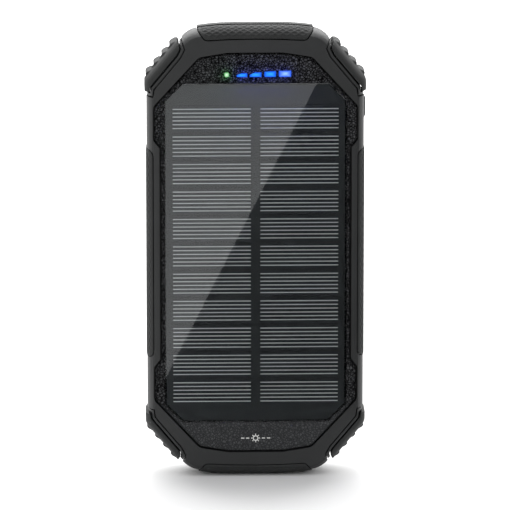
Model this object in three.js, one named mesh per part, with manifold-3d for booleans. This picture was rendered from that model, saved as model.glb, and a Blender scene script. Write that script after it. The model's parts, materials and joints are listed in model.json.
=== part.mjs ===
// Rugged solar power bank, standing on its foot pad: +Z up along its length, solar panel facing -Y.
// Lengths are millimetres. Every piece is drawn about the middle of the case: u to the right (X),
// v up (Z) and y to the back (Y); the whole group is then lifted so that the foot stands on Z = 0.

import * as THREE from 'three';
import { mergeVertices } from 'three/addons/utils/BufferGeometryUtils.js';
import Module from 'manifold-3d';

const wasm = await Module();
wasm.setup();

// ---- Driving dimensions ----
const HALF_THICKNESS = 11;
const HALF_LENGTH = 83.4;
const BODY = { side: 39.3, end: 81.7, bow: 0.8, cut: 70.9 };
const CUT_ANGLE = THREE.MathUtils.degToRad(39.9);
const FRONT_ROUND = { out: 2.8, deep: 6, steps: 5 };
const REAR_ROUND = { out: 4.5, deep: 14.4, steps: 7 };
const REAR_STEP = 0.25;
const PARTING = -4.7;
const SEAM = 0.15;
const SHADOW_GAP = { back: -3.6, depth: 1.1 };
const ARC_STEPS = 5;
const FAR = 60;

const CAVITY = { side: 36, end: 78.8, bow: 0, cut: 66.3 };
const LEDGE = { front: -8, back: -6.6, width: 1.6 };
const BACK_WALL = 9;
const CAVITY_TAPER = { from: 4, drop: 2.6 };
const BACK_FIELD = { margin: 5.5, depth: 0.5 };

const COVER = { front: -10.5, back: -8.2, gap: 0.5, chamfer: 0.4 };
const COVER_CORNERS = [
  [34.7, 39.2, 1],
  [37, 42.1, 1],
  [37, 54.5, 3],
  [20.5, 72.5, 4],
  [10, 74.2, 0],
];
const PANEL = { halfWidth: 32.75, halfHeight: 62.7, corner: 6.4, gap: 0.2, pocketFloor: -9 };
const SHEET = [-10.8, -10.03];
const CELL_LAYER = [-9.98, -9.8];
const BACKING = [-9.75, -9.1];
const CELLS = { count: 11, pitch: 10.15, height: 9.8, inner: 1.6, outer: 30, top: 49.9 };
const RIBBON = { width: 1.5, at: [8.5, 23] };

const GRIP = { inner: 37, end: 38.5, corner: 2.5, proud: 0.25, deep: 1.2, gap: 0.2 };
const BUMPER = { side: 40, end: 59.4, out: 1, thin: 0.4 };
const TEETH = { count: 4, pitch: 4.5, first: -0.7, height: 0.6, soft: 0.3, front: -6, back: 3.2 };
const SLOT = { half: 0.7, depth: 1.8, front: -5.2, back: 3.4 };
const MOAT = { bumperGap: 0.3, groove: 0.6, grooveDepth: 1.2, strip: 1.4, outer: 1.9, stripDrop: 0.3 };

const PAD = { half: 20.8, edge: 79.2, bow: 0.6, land: 8, drop: 0.95, gap: 0.3 };
const PAD_FRONT = { out: 3.6, deep: 6, steps: 5 };
const FOOT_REAR = { out: 3.6, deep: 7, steps: 4 };
const FLAP_REAR = { out: 4.6, deep: 14.4, steps: 7 };
const TOP_PAD_BACK = -5;
const PAD_SEAT = 2;
const PAD_FILL = 1.7;
const FLAP_SKIN = 1.3;
const FLAP = { front: -3.1, corner: 2, hinge: { y: 10.85, v: 76.75 }, hingeGap: 0.15 };
const STRAP = { half: 8, top: 76.6, bottom: 70.6, front: 9.6, bead: 8.3, beadTop: 72.2 };

const BUTTON = { v: 52.1, y: 1.35, height: 7.7, depth: 3.6, tip: 40, back: 34.9, flange: 0.8, lip: 0.9 };
const PLUNGER = { radius: 1.2, inner: 31.5, tip: 34.88 };
const SWITCH = { left: 27.5, right: 33.4, half: 3.4, depth: 4.15, well: 2.8 };

const SCREW_AT = [[-32, 61.4], [32, 61.4], [-33, 0], [33, 0], [-32, -61.4], [32, -61.4]];
const SCREW = { head: 1.9, headTop: 10.6, seat: 9.2, shank: 1, tip: -3.8 };
const BOSS = { radius: 2.5, bore: 1.2, sink: 2.2, blind: -4.3, meet: 2, clearance: 0.2 };
const MIDDLE_WEB = { inner: 34, half: 1 };

const SEAL = { inner: 0.5, outer: 1.3, half: 0.6, gap: 0.15 };

const BOARD = { front: -2.05, back: -0.85 };
const BOARD_QUADRANT = [[33.5, 57.6], [27.4, 59.8], [27.4, 66], [20.5, 76.8]];
const BOARD_BOTTOM = 47.5;
const PORT_Y = 2.15;
const SOCKET_GAP = 0.2;
const USB_A = {
  at: 13.6, halfWidth: 6.55, halfDepth: 2.85, wall: 0.3, mouth: 79.6, bottom: 65.6, tongueTip: 75.9,
};
const CHARGE = { halfWidth: 3.75, halfDepth: 1.45, y: 0.75, wall: 0.25, mouth: 80.4, bottom: 74.8 };

const LIGHTS = { v: 65.2, front: -10.55, back: -7.95, gap: 0.1 };
const STATUS = { u: -10.4, v: 66, radius: 0.9 };
const BARS = [
  { from: -6.8, to: -3, low: 0.6, high: 1.3 },
  { from: -2.1, to: 2.1, low: 0.7, high: 1.6 },
  { from: 3.2, to: 7.3, low: 1.8, high: 2 },
  { from: 8.4, to: 12.8, low: 2.1, high: 2.2 },
];
const LED = { half: 0.8, front: -7.75, back: -6.95 };
const INDICATOR = { left: -14, right: 16, bottom: 62, top: 70, front: -6.9, back: -6.1 };

const BATTERY = { half: 29, bottom: -60.5, top: 44.5, layers: [[-6.4, 0.9], [1.3, 8.6]] };
const LEAD = { radius: 0.55, sides: 6, steps: 6 };

// ---- Materials ----
const finish = (color, roughness, metalness = 0) => () =>
  new THREE.MeshStandardMaterial({ color, roughness, metalness });
const frameFinish = finish(0x36393a, 0.6);
const coverFinish = finish(0x1c1d1e, 0.5);
const rubberFinish = finish(0x2f3131, 0.85);
const sheetFinish = finish(0x50575c, 0.12);
const cellFinish = finish(0x2a3138, 0.25);
const greenBoard = finish(0x1d5a38, 0.45);
const steelFinish = finish(0x9a9c9e, 0.35, 0.9);
const pouchFinish = finish(0xb9bcbf, 0.4, 0.5);
const blackPlastic = finish(0x141414, 0.5);
const redWire = finish(0xb02020, 0.5);
const blueLens = finish(0x2a8cff, 0.2);
const greenLens = finish(0x54d060, 0.2);
const ledWhite = finish(0xe8e8e0, 0.4);
const foamFinish = finish(0x33302c, 0.95);
const ferrite = finish(0x44474a, 0.7);

// ---- Outlines: lists of [u, v, corner radius], counter-clockwise seen from the front ----
const cutPoint = (cut, u) => (cut - u * Math.cos(CUT_ANGLE)) / Math.sin(CUT_ANGLE);

function mirrored(quadrant) {
  const left = quadrant.map(([u, v, r = 0]) => [-u, v, r]).reverse();
  const top = [...quadrant, ...left];
  const bottom = top.map(([u, v, r = 0]) => [u, -v, r]).reverse();
  return [...top, ...bottom];
}

// An octagon with cut corners and ends that bow outwards.
function octagon({ side, end, bow, cut }, sideRadius, endRadius) {
  const reach = (cut - end * Math.sin(CUT_ANGLE)) / Math.cos(CUT_ANGLE);
  const quadrant = [[side, cutPoint(cut, side), sideRadius], [reach, end, endRadius]];
  if (bow > 0) {
    for (const share of [0.66, 0.33]) {
      quadrant.push([reach * share, end + bow * (1 - share * share), 0]);
    }
  }
  return mirrored(quadrant);
}

function rectangle(left, bottom, right, top, radius = 0) {
  return [[left, bottom, radius], [right, bottom, radius], [right, top, radius], [left, top, radius]];
}

const outward = ([u0, v0], [u1, v1]) => new THREE.Vector2(v1 - v0, u0 - u1).normalize();

// The same outline moved inwards by a distance, or outwards by a negative one.
function inset(corners, distance) {
  const count = corners.length;
  return corners.map(([u, v, r = 0], i) => {
    const before = outward(corners[(i + count - 1) % count], corners[i]);
    const after = outward(corners[i], corners[(i + 1) % count]);
    const reach = distance / (1 + before.dot(after));
    const turn = Math.sign(before.cross(after));
    const radius = r > 0 ? Math.max(r - turn * distance, 0.15) : 0;
    return [u - reach * (before.x + after.x), v - reach * (before.y + after.y), radius];
  });
}

// Points along an outline, each corner that has a radius drawn as an arc.
function rounded(corners, steps = 3) {
  const points = [];
  const count = corners.length;
  corners.forEach(([u, v, r = 0], i) => {
    const corner = new THREE.Vector2(u, v);
    if (r === 0) {
      points.push(corner);
      return;
    }
    const [bu, bv] = corners[(i + count - 1) % count];
    const [au, av] = corners[(i + 1) % count];
    const toBefore = new THREE.Vector2(bu - u, bv - v).normalize();
    const toAfter = new THREE.Vector2(au - u, av - v).normalize();
    const half = Math.acos(THREE.MathUtils.clamp(toBefore.dot(toAfter), -1, 1)) / 2;
    const bisector = toBefore.clone().add(toAfter).normalize();
    const centre = corner.clone().addScaledVector(bisector, r / Math.sin(half));
    const start = corner.clone().addScaledVector(toBefore, r / Math.tan(half)).sub(centre);
    const end = corner.clone().addScaledVector(toAfter, r / Math.tan(half)).sub(centre);
    const sweep = Math.atan2(start.cross(end), start.dot(end));
    for (let k = 0; k <= steps; k += 1) {
      const angle = start.angle() + (sweep * k) / steps;
      points.push(new THREE.Vector2(centre.x + r * Math.cos(angle), centre.y + r * Math.sin(angle)));
    }
  });
  return points;
}

// ---- Solids ----
function toSolid(geometry) {
  const bare = geometry.clone();
  bare.deleteAttribute('normal');
  bare.deleteAttribute('uv');
  const merged = mergeVertices(bare, 1e-5);
  return new wasm.Manifold(new wasm.Mesh({
    numProp: 3,
    vertProperties: merged.attributes.position.array,
    triVerts: Uint32Array.from(merged.index.array),
  }));
}

function toGeometry(solid) {
  const { vertProperties, triVerts } = solid.getMesh();
  const geometry = new THREE.BufferGeometry();
  geometry.setAttribute('position', new THREE.BufferAttribute(vertProperties, 3));
  geometry.setIndex(new THREE.BufferAttribute(triVerts, 1));
  geometry.computeVertexNormals();
  return geometry;
}

// A solid through matching outlines, front to back: each ring is [y, points].
function loft(rings) {
  const count = rings[0][1].length;
  const positions = rings.flatMap(([y, points]) => points.flatMap((p) => [p.x, y, p.y]));
  const index = [];
  for (let ring = 0; ring + 1 < rings.length; ring += 1) {
    for (let i = 0; i < count; i += 1) {
      const a = ring * count + i;
      const b = ring * count + ((i + 1) % count);
      index.push(a, a + count, b, b, a + count, b + count);
    }
  }
  const caps = THREE.ShapeUtils.triangulateShape(rings[0][1], []);
  const last = (rings.length - 1) * count;
  for (const [a, b, c] of caps) {
    index.push(a, b, c, last + a, last + c, last + b);
  }
  const geometry = new THREE.BufferGeometry();
  geometry.setAttribute('position', new THREE.Float32BufferAttribute(positions, 3));
  geometry.setIndex(index);
  return toSolid(geometry);
}

function plate(corners, front, back) {
  const points = rounded(corners);
  return loft([[front, points], [back, points]]);
}

// A plate whose front and back edges are chamfered.
function softPlate(corners, front, back, chamfer) {
  const face = rounded(inset(corners, chamfer));
  const middle = rounded(corners);
  return loft([[front, face], [front + chamfer, middle], [back - chamfer, middle], [back, face]]);
}

function block([left, right], [front, back], [bottom, top]) {
  return plate(rectangle(left, bottom, right, top), front, back);
}

// A round bar from one point to another.
function bar(from, to, radius, sides = 16) {
  const start = new THREE.Vector3(...from);
  const axis = new THREE.Vector3(...to).sub(start);
  const geometry = new THREE.CylinderGeometry(radius, radius, axis.length(), sides);
  geometry.translate(0, axis.length() / 2, 0);
  const upwards = new THREE.Vector3(0, 1, 0);
  geometry.applyQuaternion(new THREE.Quaternion().setFromUnitVectors(upwards, axis.clone().normalize()));
  geometry.translate(start.x, start.y, start.z);
  return toSolid(geometry);
}

const everything = [-FAR, FAR];
const tall = [-2 * HALF_LENGTH, 2 * HALF_LENGTH];

// ---- Case outer form ----
const bodyCorners = octagon(BODY, 5, 10);
const cavityCorners = octagon(CAVITY, 3, 3);
const coverCorners = mirrored(COVER_CORNERS);

// Half of a depth profile: [y, how far the outline is drawn in], from the face at y = `face` inwards.
// It is a quarter of an ellipse that ends at full size, `deep` behind the face before it is thinned.
function quarter({ out, deep, steps }, face, thin) {
  const profile = [];
  const reach = deep - thin;
  for (let k = 0; k <= steps; k += 1) {
    const angle = (k / steps) * (Math.PI / 2);
    const inwards = thin + reach * (1 - Math.cos(angle));
    profile.push([face - Math.sign(face) * inwards, out * (1 - Math.sin(angle))]);
  }
  return profile;
}

// A solid from an outline drawn in along a front and a rear profile, grown by `out`.
function pillow(corners, front, rear, { out = 0, thin = 0, step = 0 }) {
  const profile = [
    ...quarter(front, -HALF_THICKNESS, thin),
    [PARTING - 0.01, 0],
    [PARTING + 0.01, step],
    ...quarter(rear, HALF_THICKNESS, thin).map(([y, drop]) => [y, drop + step]).reverse(),
  ];
  return loft(profile.map(([y, drop]) => [y, rounded(inset(corners, drop - out), ARC_STEPS)]));
}

// The outer form of the case; its rear half is a step smaller than the front.
function bodyForm(out = 0, thin = 0, step = REAR_STEP) {
  return pillow(bodyCorners, FRONT_ROUND, REAR_ROUND, { out, thin, step });
}

// ---- End pads: a rubber cap over each end, seen from the front as a rounded tab ----
// A level land in the middle lets the case stand; beyond it the end falls away in a curve.
function padOutline() {
  const curve = [2, 1, 2 / 3, 1 / 3, 0].map((share) => [
    PAD.land + share * (PAD.half - PAD.land),
    HALF_LENGTH - PAD.drop * share * share,
  ]);
  return mirrored([[curve[0][0], FAR], ...curve]);
}

function padForm(shrink, rear = FOOT_REAR) {
  return pillow(padOutline(), PAD_FRONT, rear, { out: -shrink, thin: shrink });
}

// The tab that the pad covers at the top end (sign 1) or the bottom end (sign -1).
function padTab(sign, grow) {
  const edge = [];
  for (let share = -1; share <= 1; share += 0.5) {
    edge.push([share * (PAD.half - 2.6), PAD.edge - PAD.bow * share * share, Math.abs(share) === 1 ? 2 : 0]);
  }
  const right = [[PAD.half, 82, 1], [PAD.half, FAR * 2, 0]];
  const left = [[-PAD.half, FAR * 2, 0], [-PAD.half, 82, 1]];
  const top = [...edge, ...right, ...left];
  const corners = sign > 0 ? top : top.map(([u, v, r]) => [u, -v, r]).reverse();
  return plate(inset(corners, -grow), -FAR, FAR);
}

function bottomPad() {
  return padForm(0).intersect(padTab(-1, 0)).subtract(padForm(PAD_FILL));
}

// The upper tab is an inlay that ends at the parting line, and the socket cover carries on behind it.
function topPad() {
  const front = block(everything, [-FAR, TOP_PAD_BACK], [0, FAR * 2]);
  const inlay = padForm(0, FLAP_REAR).intersect(padTab(1, 0)).intersect(front);
  return inlay.subtract(padForm(PAD_FILL, FLAP_REAR));
}

// The part of the upper end that the socket cover lies over; it reaches down the back to the hinge line.
function flapWindow(grow) {
  const low = FLAP.hinge.v + FLAP.hingeGap;
  const corners = rectangle(-PAD.half, low, PAD.half, FAR * 2, FLAP.corner);
  return plate(inset(corners, -grow), FLAP.front - grow, FAR);
}

function socketCover() {
  const skin = padForm(0, FLAP_REAR).intersect(flapWindow(0)).subtract(padForm(FLAP_SKIN, FLAP_REAR));
  return skin.subtract(block(everything, [FLAP.hinge.y, FAR], tall));
}

function coverStrap() {
  const across = [-STRAP.half, STRAP.half];
  const tongue = block(across, [STRAP.front, FLAP.hinge.y], [STRAP.bottom, STRAP.top]);
  const bead = block(across, [STRAP.bead, STRAP.front + 0.1], [STRAP.bottom, STRAP.beadTop]);
  return tongue.add(bead);
}

function strapPocket() {
  const gap = SEAM + 0.1;
  const half = STRAP.half + gap;
  const tongue = block([-half, half], [STRAP.front - gap, FAR], [STRAP.bottom - gap, FAR * 2]);
  const bead = block(
    [-half, half],
    [STRAP.bead - gap, STRAP.front],
    [STRAP.bottom - gap, STRAP.beadTop + gap],
  );
  return tongue.add(bead);
}

// ---- Side grips: C-shaped rubber strips round the long sides ----
function gripWindow(sign, grow) {
  const inner = GRIP.inner - grow;
  const end = GRIP.end + grow;
  const right = [[inner, -end, GRIP.corner], [FAR, -end, 0], [FAR, end, 0], [inner, end, GRIP.corner]];
  const corners = sign > 0 ? right : right.map(([u, v, r]) => [-u, v, r]).reverse();
  return plate(corners, -FAR, FAR);
}

function sideGrip(sign) {
  return bodyForm(GRIP.proud, 0, 0).intersect(gripWindow(sign, 0)).subtract(bodyForm(-GRIP.deep, 1, 0));
}

function gripRecess(sign) {
  return gripWindow(sign, GRIP.gap).subtract(bodyForm(-GRIP.deep - GRIP.gap, 1 + GRIP.gap, 0));
}

// ---- Corner bumpers: pillowed blocks along the cut corners, with teeth and slots behind the lip ----
const BUMPER_INNER = [[27.3, 75.4, 0.8], [28.4, 73.2, 1], [38.1, 61.5, 0.8], [38.4, 59.7, 0.4]];
const BUMPER_TIP = [44.7, FAR * 2, 0];
const TEETH_START = new THREE.Vector2(39.4, 65);
const ALONG_CUT = new THREE.Vector2(-Math.sin(CUT_ANGLE), Math.cos(CUT_ANGLE));
const OUT_OF_CUT = new THREE.Vector2(Math.cos(CUT_ANGLE), Math.sin(CUT_ANGLE));

// One quadrant's outline moved to the corner at (signU, signV).
function toCorner(corners, signU, signV) {
  const moved = corners.map(([u, v, r = 0]) => [u * signU, v * signV, r]);
  return signU * signV > 0 ? moved : moved.reverse();
}

// A point beside the cut corner: how far along it from the first slot's end, and how far out of it.
function byCut(distance, height) {
  const point = TEETH_START.clone().addScaledVector(ALONG_CUT, distance);
  point.addScaledVector(OUT_OF_CUT, BODY.cut + BUMPER.out + height - point.dot(OUT_OF_CUT));
  return [point.x, point.y, 0];
}

// Each tooth rises steeply beside its slot and falls away gently to the next one.
function bumperTooth(at) {
  const { height } = TEETH;
  const rise = [[SLOT.half, -1], [SLOT.half, 0], [1, height], [2, height], [3.6, 0], [3.6, -1]];
  return rise.map(([distance, height]) => byCut(at + distance, height));
}

function bumperSlot(at) {
  const outline = [[-SLOT.half, -SLOT.depth], [-SLOT.half, 3], [SLOT.half, 3], [SLOT.half, -SLOT.depth]];
  return outline.map(([distance, height]) => byCut(at + distance, height));
}

function cornerBumper(signU, signV) {
  const atCorner = (corners) => toCorner(corners, signU, signV);
  const outline = [[FAR, BUMPER.end, 0], [FAR, FAR * 2, 0], BUMPER_TIP, ...BUMPER_INNER];
  const region = plate(atCorner(outline), -FAR, FAR);
  let bumper = bodyForm(BUMPER.out, BUMPER.thin, 0);
  for (let tooth = 0; tooth < TEETH.count; tooth += 1) {
    const at = TEETH.first + tooth * TEETH.pitch;
    bumper = bumper.add(softPlate(atCorner(bumperTooth(at)), TEETH.front, TEETH.back, TEETH.soft));
    bumper = bumper.subtract(plate(atCorner(bumperSlot(at)), SLOT.front, SLOT.back));
  }
  return bumper.intersect(region).intersect(block([-BUMPER.side, BUMPER.side], everything, tall));
}

// Everything outside the bumper's inner edge, grown towards the middle of the case.
function cornerRegion(signU, signV, grow) {
  const inner = BUMPER_INNER.map(([u, v]) => [u, v, 0]);
  const corners = [[FAR, BUMPER.end, 0], [FAR, FAR * 2, 0], BUMPER_TIP, ...inner];
  return plate(toCorner(inset(corners, -grow), signU, signV), -FAR, FAR);
}

// The bumper's seat: a deep groove along its inner edge, a sunk strip, and a thin groove beside the frame.
function bumperSeat(signU, signV) {
  const seat = cornerRegion(signU, signV, MOAT.bumperGap);
  const whole = cornerRegion(signU, signV, MOAT.outer);
  const grooveFloor = bodyForm(-MOAT.grooveDepth, MOAT.grooveDepth);
  const deepGroove = cornerRegion(signU, signV, MOAT.groove).subtract(grooveFloor);
  const thinGroove = whole.subtract(cornerRegion(signU, signV, MOAT.strip)).subtract(grooveFloor);
  const strip = whole.subtract(bodyForm(-MOAT.stripDrop, MOAT.stripDrop));
  return wasm.Manifold.union([seat, deepGroove, thinGroove, strip]);
}

// ---- Openings cut in both halves of the case ----
const QUADRANTS = [[-1, 1], [1, 1], [-1, -1], [1, -1]];

// A notch in the rear shell's front edge, so that the shell can slide over a socket.
function socketNotch(centre, halfWidth, back) {
  const half = halfWidth + SOCKET_GAP;
  return block([centre - half, centre + half], [PARTING, back + SOCKET_GAP], [CAVITY.end - 3, FAR * 2]);
}

function outsideCuts() {
  const cuts = [gripRecess(-1), gripRecess(1)];
  for (const [signU, signV] of QUADRANTS) {
    cuts.push(bumperSeat(signU, signV));
  }
  cuts.push(padTab(-1, PAD.gap).subtract(padForm(PAD_SEAT)));
  const frontHalf = block(everything, [-FAR, PARTING], tall);
  cuts.push(padTab(1, PAD.gap).intersect(frontHalf).subtract(padForm(PAD_SEAT, FLAP_REAR)));
  cuts.push(flapWindow(PAD.gap).subtract(padForm(PAD_SEAT, FLAP_REAR)));
  for (const side of [-1, 1]) {
    cuts.push(socketNotch(side * USB_A.at, USB_A.halfWidth, PORT_Y + USB_A.halfDepth));
  }
  cuts.push(socketNotch(0, CHARGE.halfWidth, CHARGE.y + CHARGE.halfDepth));
  cuts.push(block(
    [CAVITY.side - 1, FAR],
    [BUTTON.y - BUTTON.depth / 2 - 0.25, BUTTON.y + BUTTON.depth / 2 + 0.25],
    [BUTTON.v - BUTTON.height / 2 - 0.25, BUTTON.v + BUTTON.height / 2 + 0.25],
  ));
  cuts.push(sealRing(SEAL.gap));
  return wasm.Manifold.union(cuts);
}

// ---- Seal between the two halves ----
function sealRing(grow) {
  const half = SEAL.half + grow;
  const outer = plate(inset(cavityCorners, -SEAL.outer - grow), PARTING - half, PARTING + half);
  return outer.subtract(plate(inset(cavityCorners, -SEAL.inner + grow), -FAR, FAR));
}

// ---- Case halves ----
// The front frame's bosses reach back into the rear shell, where they meet its own.
function frontFrame() {
  let frame = bodyForm().intersect(block(everything, [-FAR, PARTING - SEAM], tall));
  frame = frame.subtract(plate(coverCorners, -FAR, LEDGE.front));
  frame = frame.subtract(plate(inset(coverCorners, LEDGE.width), -FAR, FAR));
  frame = frame.subtract(plate(cavityCorners, LEDGE.back, FAR));
  for (const sign of [-1, 1]) {
    const web = [sign * MIDDLE_WEB.inner, sign * (CAVITY.side + 0.5)].sort((a, b) => a - b);
    frame = frame.add(block(web, [LEDGE.back - 0.5, PARTING - SEAM], [-MIDDLE_WEB.half, MIDDLE_WEB.half]));
  }
  frame = frame.subtract(outsideCuts());
  for (const [u, v] of SCREW_AT) {
    frame = frame.add(bar([u, LEDGE.back - 0.5, v], [u, BOSS.meet - SEAM, v], BOSS.radius));
  }
  for (const [u, v] of SCREW_AT) {
    frame = frame.subtract(bar([u, BOSS.blind, v], [u, FAR, v], BOSS.bore, 12));
  }
  return frame;
}

function rearShell() {
  const tapered = inset(cavityCorners, CAVITY_TAPER.drop);
  const cavity = loft([
    [-FAR, rounded(cavityCorners)],
    [CAVITY_TAPER.from, rounded(cavityCorners)],
    [BACK_WALL, rounded(tapered)],
  ]);
  const behindFront = block(everything, [-FAR, SHADOW_GAP.back], tall);
  let shell = bodyForm().intersect(block(everything, [PARTING + SEAM, FAR], tall));
  shell = shell.subtract(behindFront.subtract(bodyForm(-SHADOW_GAP.depth, 0, 0)));
  shell = shell.subtract(cavity);
  const backField = inset(coverCorners, BACK_FIELD.margin);
  shell = shell.subtract(plate(backField, HALF_THICKNESS - BACK_FIELD.depth, FAR));
  for (const [u, v] of SCREW_AT) {
    shell = shell.subtract(bar([u, -FAR, v], [u, BOSS.meet + SEAM, v], BOSS.radius + BOSS.clearance));
    shell = shell.add(bar([u, BOSS.meet + SEAM, v], [u, BACK_WALL + 0.5, v], BOSS.radius));
  }
  for (const [u, v] of SCREW_AT) {
    shell = shell.subtract(bar([u, -FAR, v], [u, FAR, v], BOSS.bore, 12));
    shell = shell.subtract(bar([u, SCREW.seat, v], [u, FAR, v], BOSS.sink));
  }
  return shell.subtract(outsideCuts()).subtract(strapPocket());
}

function caseScrew([u, v]) {
  const head = bar([u, SCREW.seat + 0.05, v], [u, SCREW.headTop, v], SCREW.head);
  const shank = bar([u, SCREW.tip, v], [u, SCREW.seat + 0.1, v], SCREW.shank, 12);
  const slotFloor = SCREW.headTop - 0.7;
  const slotAcross = block([u - 1.1, u + 1.1], [slotFloor, FAR], [v - 0.25, v + 0.25]);
  const slotUp = block([u - 0.25, u + 0.25], [slotFloor, FAR], [v - 1.1, v + 1.1]);
  return head.add(shank).subtract(slotAcross).subtract(slotUp);
}

// ---- Front cover and solar panel ----
const panelCorners = (gap) => {
  const { halfWidth, halfHeight, corner } = PANEL;
  return inset(mirrored([[halfWidth, halfHeight - corner], [halfWidth - corner, halfHeight]]), gap);
};

function statusOutline(grow) {
  const corners = [];
  const sides = 12;
  for (let k = 0; k < sides; k += 1) {
    const angle = (2 * Math.PI * k) / sides;
    const radius = STATUS.radius + grow;
    corners.push([STATUS.u + radius * Math.cos(angle), STATUS.v + radius * Math.sin(angle), 0]);
  }
  return corners;
}

// Each charge bar is a little taller than the last, and rises to the right.
function barOutline({ from, to, low, high }, grow) {
  const base = LIGHTS.v;
  const shoulder = from + (to - from) * 0.45;
  const corners = [
    [from, base, 0.2],
    [to, base, 0.2],
    [to, base + high, 0.2],
    [shoulder, base + high * 0.96, 0],
    [from, base + low, 0.2],
  ];
  return inset(corners, -grow);
}

function lightOutlines(grow) {
  return [statusOutline(grow), ...BARS.map((light) => barOutline(light, grow))];
}

function frontCover() {
  let cover = softPlate(inset(coverCorners, COVER.gap), COVER.front, COVER.back, COVER.chamfer);
  cover = cover.subtract(plate(panelCorners(-PANEL.gap), -FAR, PANEL.pocketFloor));
  cover = cover.subtract(block([-4, 4], [-FAR, FAR], [50.5, 53.5]));
  for (const outline of lightOutlines(LIGHTS.gap)) {
    cover = cover.subtract(plate(outline, -FAR, FAR));
  }
  return cover;
}

function solarString(sign) {
  const cells = [];
  const sides = [sign * CELLS.inner, sign * CELLS.outer].sort((a, b) => a - b);
  for (let row = 0; row < CELLS.count; row += 1) {
    const middle = CELLS.top - row * CELLS.pitch;
    cells.push(block(sides, CELL_LAYER, [middle - CELLS.height / 2, middle + CELLS.height / 2]));
  }
  const span = (CELLS.count - 1) * CELLS.pitch;
  for (const at of RIBBON.at) {
    const middle = sign * at;
    const half = RIBBON.width / 2;
    cells.push(block([middle - half, middle + half], CELL_LAYER, [CELLS.top - span, CELLS.top]));
  }
  return wasm.Manifold.union(cells);
}

// ---- Power button ----
function powerButton() {
  const { v, y, height, depth, tip, back, flange, lip } = BUTTON;
  const stem = block(
    [back + 0.1, tip - 0.3],
    [y - depth / 2, y + depth / 2],
    [v - height / 2, v + height / 2],
  );
  const crown = block(
    [tip - 0.4, tip],
    [y - depth / 2 + 0.35, y + depth / 2 - 0.35],
    [v - height / 2 + 0.5, v + height / 2 - 0.5],
  );
  const rim = block(
    [back, back + flange],
    [y - depth / 2 - lip, y + depth / 2 + lip],
    [v - height / 2 - lip, v + height / 2 + lip],
  );
  return stem.add(crown).add(rim);
}

function tactSwitch() {
  const box = block(
    [SWITCH.left, SWITCH.right],
    [BOARD.back + 0.1, BOARD.back + 0.1 + SWITCH.depth],
    [BUTTON.v - SWITCH.half, BUTTON.v + SWITCH.half],
  );
  const floor = SWITCH.right - SWITCH.well;
  const well = bar([floor, BUTTON.y, BUTTON.v], [FAR, BUTTON.y, BUTTON.v], PLUNGER.radius + 0.15);
  return box.subtract(well);
}

function switchPlunger() {
  return bar([PLUNGER.inner, BUTTON.y, BUTTON.v], [PLUNGER.tip, BUTTON.y, BUTTON.v], PLUNGER.radius);
}

// ---- Electronics ----
function mainBoard() {
  const right = BOARD_QUADRANT;
  const left = right.map(([u, v]) => [-u, v]).reverse();
  const corners = [[-33.5, BOARD_BOTTOM], [33.5, BOARD_BOTTOM], ...right, ...left];
  return plate(corners, BOARD.front, BOARD.back);
}

function usbShell(centre) {
  const { halfWidth, halfDepth, wall, mouth, bottom } = USB_A;
  const outer = block(
    [centre - halfWidth, centre + halfWidth],
    [PORT_Y - halfDepth, PORT_Y + halfDepth],
    [bottom, mouth],
  );
  const inner = block(
    [centre - halfWidth + wall, centre + halfWidth - wall],
    [PORT_Y - halfDepth + wall, PORT_Y + halfDepth - wall],
    [bottom + wall, FAR * 2],
  );
  return outer.subtract(inner);
}

function usbTongue(centre) {
  const root = USB_A.bottom + USB_A.wall + 0.05;
  const blade = block([centre - 5.6, centre + 5.6], [PORT_Y - 1.9, PORT_Y - 0.1], [root, USB_A.tongueTip]);
  const base = block([centre - 6, centre + 6], [PORT_Y - 2.3, PORT_Y + 2.3], [root, root + 1.8]);
  return blade.add(base);
}

function chargeShell() {
  const { halfWidth, halfDepth, y, wall, mouth, bottom } = CHARGE;
  const taper = 0.9;
  const outline = (grow) => inset([
    [-halfWidth, y - halfDepth, 0.3],
    [halfWidth, y - halfDepth, 0.3],
    [halfWidth, y + halfDepth - taper, 0.3],
    [halfWidth - taper, y + halfDepth, 0.3],
    [-halfWidth + taper, y + halfDepth, 0.3],
    [-halfWidth, y + halfDepth - taper, 0.3],
  ], grow);
  return upright(outline(0), bottom, mouth).subtract(upright(outline(wall), bottom + wall, FAR * 2));
}

// A prism that stands along the case: its outline is [u, y] instead of [u, v].
function upright(corners, bottom, top) {
  const points = rounded(corners);
  const shape = new THREE.Shape(points);
  const geometry = new THREE.ExtrudeGeometry(shape, { depth: top - bottom, bevelEnabled: false });
  geometry.translate(0, 0, bottom);
  return toSolid(geometry);
}

function chargeTongue() {
  const root = CHARGE.bottom + CHARGE.wall + 0.05;
  return block([-2.4, 2.4], [CHARGE.y - 0.6, CHARGE.y + 0.1], [root, CHARGE.mouth - 1]);
}

function chargeLed(light) {
  const middle = (light.from + light.to) / 2;
  const v = LIGHTS.v + light.high / 2;
  return block([middle - 1.6, middle + 1.6], [LED.front, LED.back], [v - LED.half, v + LED.half]);
}

// A wire along a smooth curve through its points.
function lead(points) {
  const route = new THREE.CatmullRomCurve3(points.map((p) => new THREE.Vector3(...p)));
  const section = new THREE.Shape();
  section.absarc(0, 0, LEAD.radius, 0, 2 * Math.PI, false);
  const geometry = new THREE.ExtrudeGeometry(section, {
    steps: LEAD.steps,
    curveSegments: LEAD.sides,
    extrudePath: route,
  });
  return toSolid(geometry);
}

const LEAD_END = BOARD.front - 0.2;
const BATTERY_ROUTE = [[-3.4, 46.6], [-4.2, 48.2], [-3.8, 50], [LEAD_END, 50.5]];
const PANEL_ROUTE = [[-9, 52], [-7.4, 52], [-5.4, 53], [-3.6, 54.5], [LEAD_END, 54.7]];
const batteryLead = (u) => lead(BATTERY_ROUTE.map(([y, v]) => [u, y, v]));
const panelLead = (u) => lead(PANEL_ROUTE.map(([y, v]) => [u, y, v]));

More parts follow.
